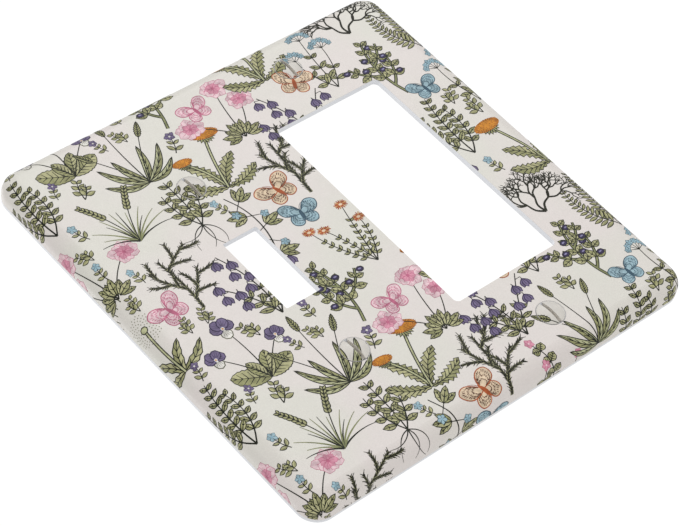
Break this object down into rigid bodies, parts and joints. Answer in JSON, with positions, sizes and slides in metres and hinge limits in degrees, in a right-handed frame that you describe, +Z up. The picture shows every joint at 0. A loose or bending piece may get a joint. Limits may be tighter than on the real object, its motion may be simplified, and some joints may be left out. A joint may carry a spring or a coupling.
{
  "type": "wall plate cover",
  "caption": "Square wall plate with a botanical print, a small toggle opening beside a tall rocker opening, and oval-head fixing screws through its face.",
  "frame": {"origin": "centre of the plate on the plane of the wall, where the plate's rear rim lies", "axes": "+X to the right seen from the front, with the toggle opening on the left; +Y into the wall, so the front faces -Y; +Z up the wall"},
  "size_m": [0.12, 0.0134, 0.1196],
  "materials": {
    "moulding": "smooth white moulded plastic, semi-gloss",
    "film": "satin film, off-white with printed plants",
    "screw": "steel with an off-white enamelled head"
  },
  "bodies": {
    "plate": {"wall_plate": "moulding", "printed_film": "film"},
    "toggle_screw_top": {"toggle_screw_top": "screw"},
    "toggle_screw_bottom": {"toggle_screw_bottom": "screw"},
    "rocker_screw_top": {"rocker_screw_top": "screw"},
    "rocker_screw_bottom": {"rocker_screw_bottom": "screw"}
  },
  "joints": [
    {"name": "toggle_screw_top_out", "type": "slide", "parent": "plate", "child": "toggle_screw_top", "axis": [0, -1, 0], "range_m": [0, 0.014]},
    {"name": "toggle_screw_bottom_out", "type": "slide", "parent": "plate", "child": "toggle_screw_bottom", "axis": [0, -1, 0], "range_m": [0, 0.014]},
    {"name": "rocker_screw_top_out", "type": "slide", "parent": "plate", "child": "rocker_screw_top", "axis": [0, -1, 0], "range_m": [0, 0.014]},
    {"name": "rocker_screw_bottom_out", "type": "slide", "parent": "plate", "child": "rocker_screw_bottom", "axis": [0, -1, 0], "range_m": [0, 0.014]}
  ]
}
